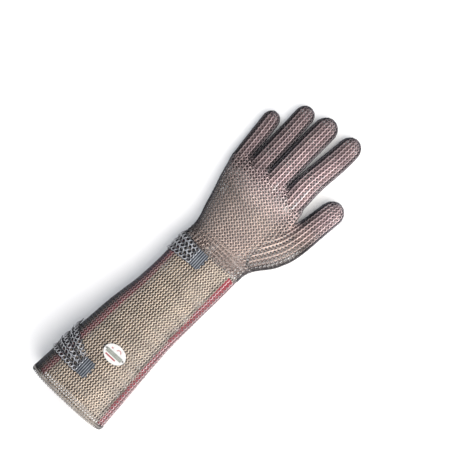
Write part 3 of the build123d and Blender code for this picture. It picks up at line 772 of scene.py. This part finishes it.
# place across each digit, -1 to 1 from its little finger side to its thumb side, and along it, 0 to 1
across, far = np.zeros(len(pos)), np.zeros(len(pos))
for i, tube in enumerate(tubes.values()):
    m = owner == i + 2
    k, _a, lateral, _v = tube.local(pos[m])
    across[m] = lateral / tube.a[k]
    knuckle = station_on(tube, HINGES[NAMES[i + 2]][0])
    far[m] = np.clip((station[m] - knuckle) / (tube.length - knuckle), 0, 1)
thumb_ring = owner == NAMES.index("thumb")
thumb_web = np.clip((94 - Y) / 12, 0, 1) * np.clip(0.25 - across, 0, 1) * (thumb_ring & (up > 0))
# less painted side shade on the thumb next to the web
edge = edge * (1 - 0.75 * np.clip(1.6 * thumb_web, 0, 1))
colour = between(base, SIDE_SHADE_COOL, edge)
# painted light: the level of each part, darker away from the thumb side
level = {"hand": 0.92, "cuff": 0.96, "index": 0.87, "middle": 0.82, "ring": 0.60, "little": 0.56, "thumb": 1.08}
light_gain = np.array([level[NAMES[o]] for o in owner])
# painted light across the hand: darker towards the little finger side and the wrist, brighter towards the knuckles
hand_light_gain = np.interp(X, [-45, -34, -24, -8, 12, 30, 44], [0.38, 0.44, 0.58, 0.91, 1.06, 1.10, 1.04])
hand_light_gain *= np.interp(Y, [4, 14, 30, 70, 90, 110], [0.70, 0.70, 0.95, 1.00, 1.38, 1.62])
light_gain = np.where(owner == 0, hand_light_gain, light_gain)
# painted light across the cuff: darker towards the little finger side
light_gain = np.where(owner == 1, light_gain * np.interp(X, [-40, -28, -12, 6, 26], [0.52, 0.80, 0.94, 1.02, 1.00]), light_gain)
# painted shade at the cuff's mouth
light_gain = np.where((owner == 1) & (Y < -185), light_gain * 0.62, light_gain)
# painted shade along the fold where the thumb leaves the hand, and on the thumb's outer side
fold = np.full(len(pos), 99.0)
for (ax, ay), (bx, by) in (((50.5, 112), (50.5, 86)), ((50.5, 86), (51, 74))):
    k = np.clip(((X - ax) * (bx - ax) + (Y - ay) * (by - ay)) / ((bx - ax) ** 2 + (by - ay) ** 2), 0, 1)
    fold = np.minimum(fold, np.hypot(X - ax - k * (bx - ax), Y - ay - k * (by - ay)))
light_gain = np.where(up > 0, light_gain * (1 - 0.50 * np.exp(-(fold / 2.3) ** 2)), light_gain)
outer = np.clip((side - 0.15) / 0.4, 0, 1) * np.clip((100 - Y) / 22, 0, 1)
light_gain = np.where(owner == NAMES.index("thumb"), light_gain * (1 - 0.62 * outer), light_gain)
# painted shade between the fingers
near = np.full(len(pos), 9.0)
for i, tube in enumerate(tubes.values()):
    d = tube.sdf(pos)
    near = np.where(owner == i + 2, near, np.minimum(near, d))
light_gain = np.where(owner >= 2, light_gain * (0.12 + 0.88 * np.clip(near / 3.6, 0, 1) ** 0.8), light_gain)
# light comes from the thumb side, and falls off towards the fingertips
lit = np.interp(across, [-1, -0.65, -0.35, 0, 0.35, 0.65, 1], [0.60, 0.70, 0.84, 1.24, 1.42, 1.04, 0.80])
lit_thumb = np.interp(across, [-1, -0.6, -0.3, 0, 0.4, 0.8, 1], [0.62, 0.68, 0.82, 1.00, 1.20, 1.20, 1.0])
lit = np.where(thumb_ring, lit_thumb + (1.25 - lit_thumb) * np.clip(2.0 * thumb_web, 0, 1), lit)
falls = {"index": (1.40, 0.74), "middle": (1.38, 0.72), "ring": (1.06, 0.96), "little": (1.0, 0.98), "thumb": (0.98, 1.06)}
for i, name in enumerate(NAMES[2:]):
    m = owner == i + 2
    lit[m] *= falls[name][0] + (falls[name][1] - falls[name][0]) * far[m]
light_gain = np.where(owner >= 2, light_gain * lit, light_gain)
colour *= light_gain[:, None]
# where the mail faces the floor, the painted light and side shade give way to a plain mid grey
colour = np.where((up < -0.2)[:, None], between(colour, np.array([0.36, 0.355, 0.35]), np.full(len(pos), 0.8)), colour)
# painted light: even rows lighter and odd rows darker, as if lit from one side
PARITY = {0: 0.02, 1: 0.16}
par = np.array([PARITY.get(int(o), 0.08) for o in owner])
calm = np.clip((X - 2) / 14, 0, 1) * (owner == 1)        # the grid is fainter on the thumb side
par = par * (1 - 0.75 * calm)
colour *= (1.0 + par * np.where(row % 2 == 0, 1, -1))[:, None]
# the rows that lie lower are browner
sunk = ((owner == 1) & (row % 2 == 1) & (up > 0)).astype(float) * (1 - 0.6 * calm)
colour = between(colour, colour * np.array([1.04, 0.98, 0.88]), sunk)
# gathers: pairs of rows stand up and catch the light, the pairs between them sink
colour *= (1.0 + (0.30 + 0.30 * (pleat < 0)) * drawn_in * pleat)[:, None]
# mail over the little finger side's stay is tinted with the stay's red, a painted reflection
a, b = stay_span(-1, Y)
stay_painted_light = np.clip(1.4 - np.abs(X - (a + b) / 2) / ((b - a) / 2), 0, 1) * ((owner == 1) & (up > 0.1) & (Y < -10) & (Y > -188))
colour = colour * between(np.ones((len(pos), 3)), np.array([1.10, 0.80, 0.93]), stay_painted_light)
# painted shade in a strip along the inner edge of the thumb side's stay
a, b = stay_span(1, Y)
stay_painted_light = ((owner == 1) & (up > 0) & (Y < 4) & (Y > -188)) * np.clip(1 - np.abs(X - a + 1.4) / 1.8, 0, 1)
colour *= (1 - 0.55 * stay_painted_light)[:, None]
# rings over the thumb side's stay are painted pink, a painted reflection of its red
over = (owner == 1) & (up > 0) & (Y < 4) & (Y > -188) & (X > a) & (X < b + 2)
colour = np.where(over[:, None], np.array([0.66, 0.52, 0.54]), colour)
# painted shade at either end of each ring along the row; towards the cuff's thumb side it fades and turns slightly
# lighter
end_shade = np.where(owner == 1, 0.30 - 0.44 * calm, np.where(owner == 0, 0.06, 0.12))
end_shade = np.where(over, 0.34, end_shade)
colour *= rng.normal(1.0, 0.06, len(pos))[:, None]
# painted shade: the second layer under the finger joints is darker
colour = np.where(under_layer[:, None], colour * 0.45, colour)
colour = np.clip(colour, 0.01, 0.95)
for o, name in enumerate(NAMES):
    m = (owner == o) & (np.abs(Y - {"little": 140, "thumb": 110, "hand": 70, "cuff": -100}.get(name, 150)) < 3)
    print("width", name, round(float((X[m]).min()), 1), round(float(X[m].max()), 1))

made = {}
for name, (body, stands_for) in PLAN.items():
    m = piece == name
    if not m.any():
        raise SystemExit(f"no rings in {name}")
    thick = WIRE + (0.06 if name.startswith("cuff") else 0.02)
    ob = ring_mesh(name, pos[m], ring_row[m], ring_axis[m], normal[m], RING_R, thick, colour[m], end_shade[m])
    ob.data.materials.append(steel)
    if isinstance(body, str):
        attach(ob, body)
    else:
        a, b, start, end = body
        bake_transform(ob, a, b, tuple(start), tuple(end))
        # steel rings stay round: a whole ring takes the weight of its centre
        per = MAJOR * MINOR
        w = np.zeros(len(ob.data.vertices), np.float32)
        at = ob.data.attributes["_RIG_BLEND"]
        at.data.foreach_get("value", w)
        w = np.repeat(w.reshape(-1, per).mean(1), per)
        at.data.foreach_set("value", w.astype(np.float32))
    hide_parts(*stands_for)
    made[name] = ob
print({n: int((piece == n).sum()) for n in PLAN})

# ------------------------------------------------------------------ straps of larger, looser rings
def strap_seats(y_end, y_root, x_end, z_root, grow, rows_n, pitch):
    """Seats in rows laid round the cuff from its little finger side up to the hook plate."""
    ang = np.linspace(math.pi, math.pi / 2, 600)
    out = []
    for r in range(rows_n):
        f = (r + 0.5) / rows_n
        y0 = y_root[0] + (y_root[1] - y_root[0]) * f
        y1 = y_end[0] + (y_end[1] - y_end[0]) * f
        left, right, height, n = [float(v[0]) for v in arm.at(np.array([(y0 + y1) / 2]))]
        a, b = (right - left) / 2 + grow, height / 2 + grow
        ex = np.sign(np.cos(ang)) * np.abs(np.cos(ang)) ** (2 / n) * a + (left + right) / 2
        ez = np.abs(np.sin(ang)) ** (2 / n) * b + height / 2
        ok = (ez >= z_root) & (ex <= x_end)
        ex, ez = ex[ok], ez[ok]
        arc = np.concatenate([[0], np.cumsum(np.hypot(np.diff(ex), np.diff(ez)))])
        start = arc[-1] - 1.2 - 0.5 * pitch * (r % 2)
        for at in np.arange(start, 0.6, -pitch):
            px, pz = np.interp(at, arc, ex), np.interp(at, arc, ez)
            qx, qz = np.interp(at + 0.5, arc, ex), np.interp(at + 0.5, arc, ez)
            wx, wz = np.interp(at - 0.5, arc, ex), np.interp(at - 0.5, arc, ez)
            d = np.array([qx - wx, 0, qz - wz])
            d /= np.linalg.norm(d)
            out.append((px, y0 + (y1 - y0) * at / arc[-1], pz, *d, -d[2], 0, d[0], r))
    return np.array(out)


def strap(name, y_end, y_root, x_end, z_root, body, node):
    """Open rings on top of a dense row of rings painted near black, as the shade under the strap."""
    parts = []
    for layer, (grow, rows_n, pitch, radius, wire, lean_deg, colours) in {
            "rings": (1.55, 5, 4.9, 2.25, 0.40, 22.0, ((0.36, 0.37, 0.39), (0.60, 0.61, 0.64))),
            "back_rings": (0.35, 10, 3.6, 1.75, 0.36, 12.0, ((0.035, 0.037, 0.042), (0.06, 0.062, 0.07)))}.items():
        q = strap_seats(y_end, y_root, x_end, z_root, grow, rows_n, pitch)
        p, d, nr, rr = q[:, :3], q[:, 3:6], q[:, 6:9], q[:, 9].astype(int)
        e, ax = lean_axes(nr, d, rr, lean_deg, 3.0)
        # random tone, and painted light: darker towards the little finger side
        k = rng.random(len(p)) * 0.4 + np.clip((p[:, 0] - p[:, 0].min()) / 22.0, 0, 1) * 0.6
        c = between(np.tile(colours[0], (len(p), 1)), np.array(colours[1]), k)
        ob = ring_mesh(f"{name}_{layer}", p, e, ax, nr, radius, wire, c, 0.0, 20, 8)
        ob.data.materials.append(strap_steel)
        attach(ob, body)
        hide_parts(node)
        parts.append(ob)
    return parts


strap("wrist_strap", (-12.6, 4.6), (-17.0, 7.4), -9.0, 22.0, "wrist_strap", "wrist_strap")
strap("forearm_strap", (-164.0, -146.0), (-165.5, -124.0), -18.0, 34.0, "forearm_strap", "forearm_strap")

# ------------------------------------------------------------------ rings that join the small parts
def upright(name, places, radius, wire, tilt, body, shade):
    """A few single rings: centre, axis and out direction given for each."""
    p = np.array([c for c, _a, _o in places], float)
    ax = np.array([a for _c, a, _o in places], float)
    o = np.array([q for _c, _a, q in places], float)
    ax /= np.linalg.norm(ax, axis=1)[:, None]
    e = np.cross(ax, o)
    e /= np.linalg.norm(e, axis=1)[:, None]
    c = np.array(shade) * rng.uniform(0.85, 1.12, len(p))[:, None]
    ob = ring_mesh(name, p, e, ax, o, radius, wire, c, 0.0, 24, 10)
    ob.data.materials.append(strap_steel)
    if isinstance(body, str):
        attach(ob, body)
    else:
        # half way between the two bodies that the rings join
        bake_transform(ob, body[0], body[1], tuple(body[2]), tuple(body[3]))
        w = np.full(len(ob.data.vertices), 0.5, np.float32)
        ob.data.attributes["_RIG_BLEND"].data.foreach_set("value", w)
    return ob


for node, x0, y_mid in (("wrist", -9.5, -4.0), ("forearm", -18.5, -155.0)):
    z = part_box(f"{node}_hook")[1][2] * 1000 - 0.9
    c, s_ = math.cos(math.radians(42)), math.sin(math.radians(42))
    upright(f"{node}_link_rings",
            [((x0 + 0.1, y_mid + 4.2 * (n - 1.5), z + 0.1), (-s_, 0.12 * (-1) ** n, c), (0, 0, 1)) for n in range(4)],
            1.75, 0.38, 0, (f"{node}_strap", f"{node}_hook", to_world((x0 - 3, y_mid, z)), to_world((x0 + 3, y_mid, z))),
            (0.52, 0.53, 0.56))
bz_lo, bz_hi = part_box("badge")[0][2] * 1000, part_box("badge")[1][2] * 1000
upright("badge_rings",
        [((x, -126.9, (bz_lo + bz_hi) / 2 - 0.2), (0.12 * k, 1, 0.21), (0, 0, 1)) for x, k in ((-11.3, 1), (12.3, -1))],
        1.45, 0.30, 0, "cuff", (0.50, 0.50, 0.50))

# the mouth is finished with a close double row of rings
left, right, height, n_m = [float(v[0]) for v in arm.at(np.array([-190.5]))]
ang = np.linspace(0, 2 * np.pi, 2881)[:-1]
mouth_x = np.sign(np.cos(ang)) * np.abs(np.cos(ang)) ** (2 / n_m) * ((right - left) / 2 - 1.5) + (left + right) / 2
mouth_z = np.sign(np.sin(ang)) * np.abs(np.sin(ang)) ** (2 / n_m) * (height / 2 - 1.5) + height / 2
arc = np.concatenate([[0], np.cumsum(np.hypot(np.diff(mouth_x), np.diff(mouth_z)))])
count = int(arc[-1] / 1.35) // 2 * 2
at = (np.arange(count) + 0.5) / count * arc[-1]
mx, mz = np.interp(at, arc, mouth_x), np.interp(at, arc, mouth_z)
qx, qz = np.interp((at + 0.4) % arc[-1], arc, mouth_x), np.interp((at + 0.4) % arc[-1], arc, mouth_z)
run = np.stack([qx - mx, np.zeros(count), qz - mz], 1)
run /= np.linalg.norm(run, axis=1)[:, None]
outward = np.stack([run[:, 2], np.zeros(count), -run[:, 0]], 1)
places = np.stack([mx, -190.7 + 1.0 * (np.arange(count) % 2), mz], 1)
places[:, 2] = np.maximum(places[:, 2], 2.1)
ring_e, ring_ax = lean_axes(outward, run, np.arange(count), 52.0, 3.0)
# painted light: the hem rings are lighter where they face up, darker where they face sideways and down
hem_colour = between(np.tile((0.20, 0.20, 0.21), (count, 1)), np.array([0.36, 0.33, 0.30]), np.clip(outward[:, 2], 0, 1) ** 0.7)
hem = ring_mesh("mouth_hem_rings", places, ring_e, ring_ax, outward, 1.6, 0.40, hem_colour, 0.1)
hem.data.materials.append(steel)
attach(hem, "cuff")

# ------------------------------------------------------------------ materials of the CAD nodes
def stay_plastic(name, dark, mid, light):
    mat, nt, bsdf = nodes_of(name)
    streak = noise(nt, 220.0, 5, 0.4, (1.0, 0.12, 1.0))
    speck = noise(nt, 1500.0, 2)
    col = ramp(nt, [(0.25, dark), (0.55, mid), (0.85, light)], streak)
    nt.links.new(mix(nt, 0.18, col, ramp(nt, [(0.4, dark), (0.7, light)], speck)), bsdf.inputs["Base Color"])
    nt.links.new(math_node(nt, "ADD", math_node(nt, "MULTIPLY", speck, 0.25), 0.42), bsdf.inputs["Roughness"])
    return mat


red = stay_plastic("red_stay", (0.13, 0.004, 0.012), (0.23, 0.007, 0.020), (0.32, 0.016, 0.034))
dim_red = stay_plastic("red_stay_worn", (0.16, 0.016, 0.035), (0.26, 0.030, 0.060), (0.36, 0.08, 0.12))



def hook_finish(name, first_rib):
    """Blue-grey plate: painted light along its ribs and painted shade in the channels between them, over a brushed,
    clouded finish.
    """
    mat, nt, bsdf = nodes_of(name)
    coord = nt.nodes.new("ShaderNodeTexCoord")
    sep = nt.nodes.new("ShaderNodeSeparateXYZ")
    nt.links.new(coord.outputs["Object"], sep.inputs[0])
    along_x = math_node(nt, "SUBTRACT", sep.outputs[0], float(to_world((first_rib, 0, 0))[0]))
    wave = math_node(nt, "COSINE", math_node(nt, "MULTIPLY", along_x, 2 * math.pi / 0.0023), 0.0)
    brush = noise(nt, 900.0, 4, 0.0, (1.0, 0.05, 1.0))
    cloud = noise(nt, 120.0, 4)
    mark = math_node(nt, "ADD", math_node(nt, "MULTIPLY", wave, 0.30), math_node(
        nt, "ADD", math_node(nt, "MULTIPLY", brush, 0.55), math_node(nt, "MULTIPLY", cloud, 0.45)))
    col = ramp(nt, [(0.20, (0.016, 0.019, 0.025)), (0.50, (0.055, 0.063, 0.075)), (0.85, (0.19, 0.205, 0.23))], mark)
    nt.links.new(col, bsdf.inputs["Base Color"])
    bsdf.inputs["Metallic"].default_value = 0.85
    nt.links.new(math_node(nt, "ADD", math_node(nt, "MULTIPLY", brush, 0.25), 0.30), bsdf.inputs["Roughness"])
    bump = nt.nodes.new("ShaderNodeBump")
    bump.inputs["Strength"].default_value = 0.2
    bump.inputs["Distance"].default_value = 0.00005
    nt.links.new(brush, bump.inputs["Height"])
    nt.links.new(bump.outputs[0], bsdf.inputs["Normal"])
    return mat


wrist_plate = hook_finish("hook_steel", -9.5 + 3.6)
forearm_plate = hook_finish("hook_steel_2", -18.5 + 3.6)

mat, nt, bsdf = nodes_of("badge_print")
coord = nt.nodes.new("ShaderNodeTexCoord")
sep = nt.nodes.new("ShaderNodeSeparateXYZ")
nt.links.new(coord.outputs["Object"], sep.inputs[0])
bx = math_node(nt, "SUBTRACT", sep.outputs[0], float(to_world((0.5, -127, 0))[0]))
by = math_node(nt, "SUBTRACT", sep.outputs[1], float(to_world((0.5, -127, 0))[1]))


def inside(value, low, high):
    return math_node(nt, "MULTIPLY", math_node(nt, "GREATER_THAN", value, low), math_node(nt, "LESS_THAN", value, high))


bar = math_node(nt, "MULTIPLY", inside(bx, -0.0098, 0.0094), inside(by, -0.0026, 0.0016))
wave = math_node(nt, "GREATER_THAN", math_node(nt, "SINE", math_node(nt, "MULTIPLY", bx, 2 * math.pi / 0.00115), 0.0), -0.1)
line = math_node(nt, "MULTIPLY", inside(bx, -0.0078, 0.0046), inside(by, -0.0052, -0.0036))
mark_x = math_node(nt, "SUBTRACT", bx, 0.0018)
arc_r = math_node(nt, "SQRT", math_node(nt, "ADD", math_node(nt, "MULTIPLY", mark_x, mark_x), math_node(nt, "MULTIPLY", math_node(nt, "SUBTRACT", by, 0.0034), math_node(nt, "SUBTRACT", by, 0.0034))), 0.0)
spot = math_node(nt, "MAXIMUM", math_node(nt, "MULTIPLY", inside(arc_r, 0.0020, 0.0030), math_node(nt, "GREATER_THAN", by, 0.0038)),
                 math_node(nt, "MULTIPLY", inside(bx, -0.0070, -0.0048), inside(by, 0.0030, 0.0042)))
base = noise(nt, 300.0, 4)
white = ramp(nt, [(0.3, (0.52, 0.52, 0.505)), (0.7, (0.61, 0.61, 0.595))], base)
c1 = mix(nt, math_node(nt, "MULTIPLY", bar, math_node(nt, "ADD", math_node(nt, "MULTIPLY", wave, 0.42), 0.52)), white, (0.085, 0.105, 0.075))
c2 = mix(nt, math_node(nt, "MULTIPLY", line, 0.92), c1, (0.26, 0.018, 0.028))
c3 = mix(nt, math_node(nt, "MULTIPLY", spot, 0.80), c2, (0.32, 0.035, 0.05))
nt.links.new(c3, bsdf.inputs["Base Color"])
nt.links.new(math_node(nt, "ADD", math_node(nt, "MULTIPLY", base, 0.2), 0.18), bsdf.inputs["Roughness"])
print_mat = mat

for node, m in (("thumb_side_stay", red), ("little_side_stay", dim_red), ("wrist_hook", wrist_plate),
                ("forearm_hook", forearm_plate), ("badge", print_mat)):
    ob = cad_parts[node]
    ob.data.materials.clear()
    ob.data.materials.append(m)

# ------------------------------------------------------------------ floor, light, camera
bpy.ops.mesh.primitive_plane_add(size=6.0, location=(0, 0, -0.0002))
floor = bpy.context.object
floor.name = "studio_floor"
mat, nt, bsdf = nodes_of("studio_floor")
bsdf.inputs["Base Color"].default_value = (0.94, 0.94, 0.94, 1)
bsdf.inputs["Roughness"].default_value = 0.9
floor.data.materials.append(mat)


def area(name, loc, size, power, colour, target=(0, 0, 0.03)):
    data = bpy.data.lights.new(name, "AREA")
    data.shape = "DISK"
    data.size = size
    data.energy = power
    data.color = colour
    ob = bpy.data.objects.new(name, data)
    bpy.context.scene.collection.objects.link(ob)
    ob.location = loc
    ob.rotation_mode = "QUATERNION"
    ob.rotation_quaternion = (Vector(target) - Vector(loc)).to_track_quat("-Z", "Y")
    return ob


area("key", (0.78, -0.05, 1.22), 2.2, 44.0, (1.0, 0.97, 0.94))
area("fill", (-0.9, 0.4, 1.1), 1.4, 6.0, (0.82, 0.89, 1.0))
area("back", (0.2, 1.1, 0.9), 0.9, 3.0, (1.0, 0.97, 0.94))
world = bpy.data.worlds.new("studio")
bpy.context.scene.world = world
bpy.context.scene.view_settings.view_transform = "Standard"
world.use_nodes = True
bg = world.node_tree.nodes["Background"]
bg.inputs[0].default_value = (0.93, 0.95, 1.0, 1)
bg.inputs[1].default_value = 0.36

# straight above, with the fingers pointing to the upper right
DIST = 1.6
SIDE = 0.458          # side of the square seen at the glove's height
cam_data = bpy.data.cameras.new("camera")
cam = bpy.data.objects.new("camera", cam_data)
bpy.context.scene.collection.objects.link(cam)
cam_data.sensor_width = 36.0
cam_data.lens = 36.0 * DIST / SIDE
# the centre of the picture in glove coordinates
px, py = 229.0, 229.0
s_c, t_c = 0.682 * px - 0.731 * py, 0.731 * px + 0.682 * py
centre = to_world((t_c - 325.0, s_c + 50.0, 25.0))
cam.location = (centre[0], centre[1], centre[2] + DIST)
# image right is (X, Y) = (0.731, 0.682); image up is (-0.682, 0.731)
right = Vector((0.731, 0.682, 0)).normalized()
upv = Vector((-0.682, 0.731, 0)).normalized()
rot = Matrix((right, upv, right.cross(upv))).transposed()
cam.rotation_mode = "QUATERNION"
cam.rotation_quaternion = rot.to_quaternion()
cam_data.clip_start, cam_data.clip_end = 0.05, 20
bpy.context.scene.camera = cam
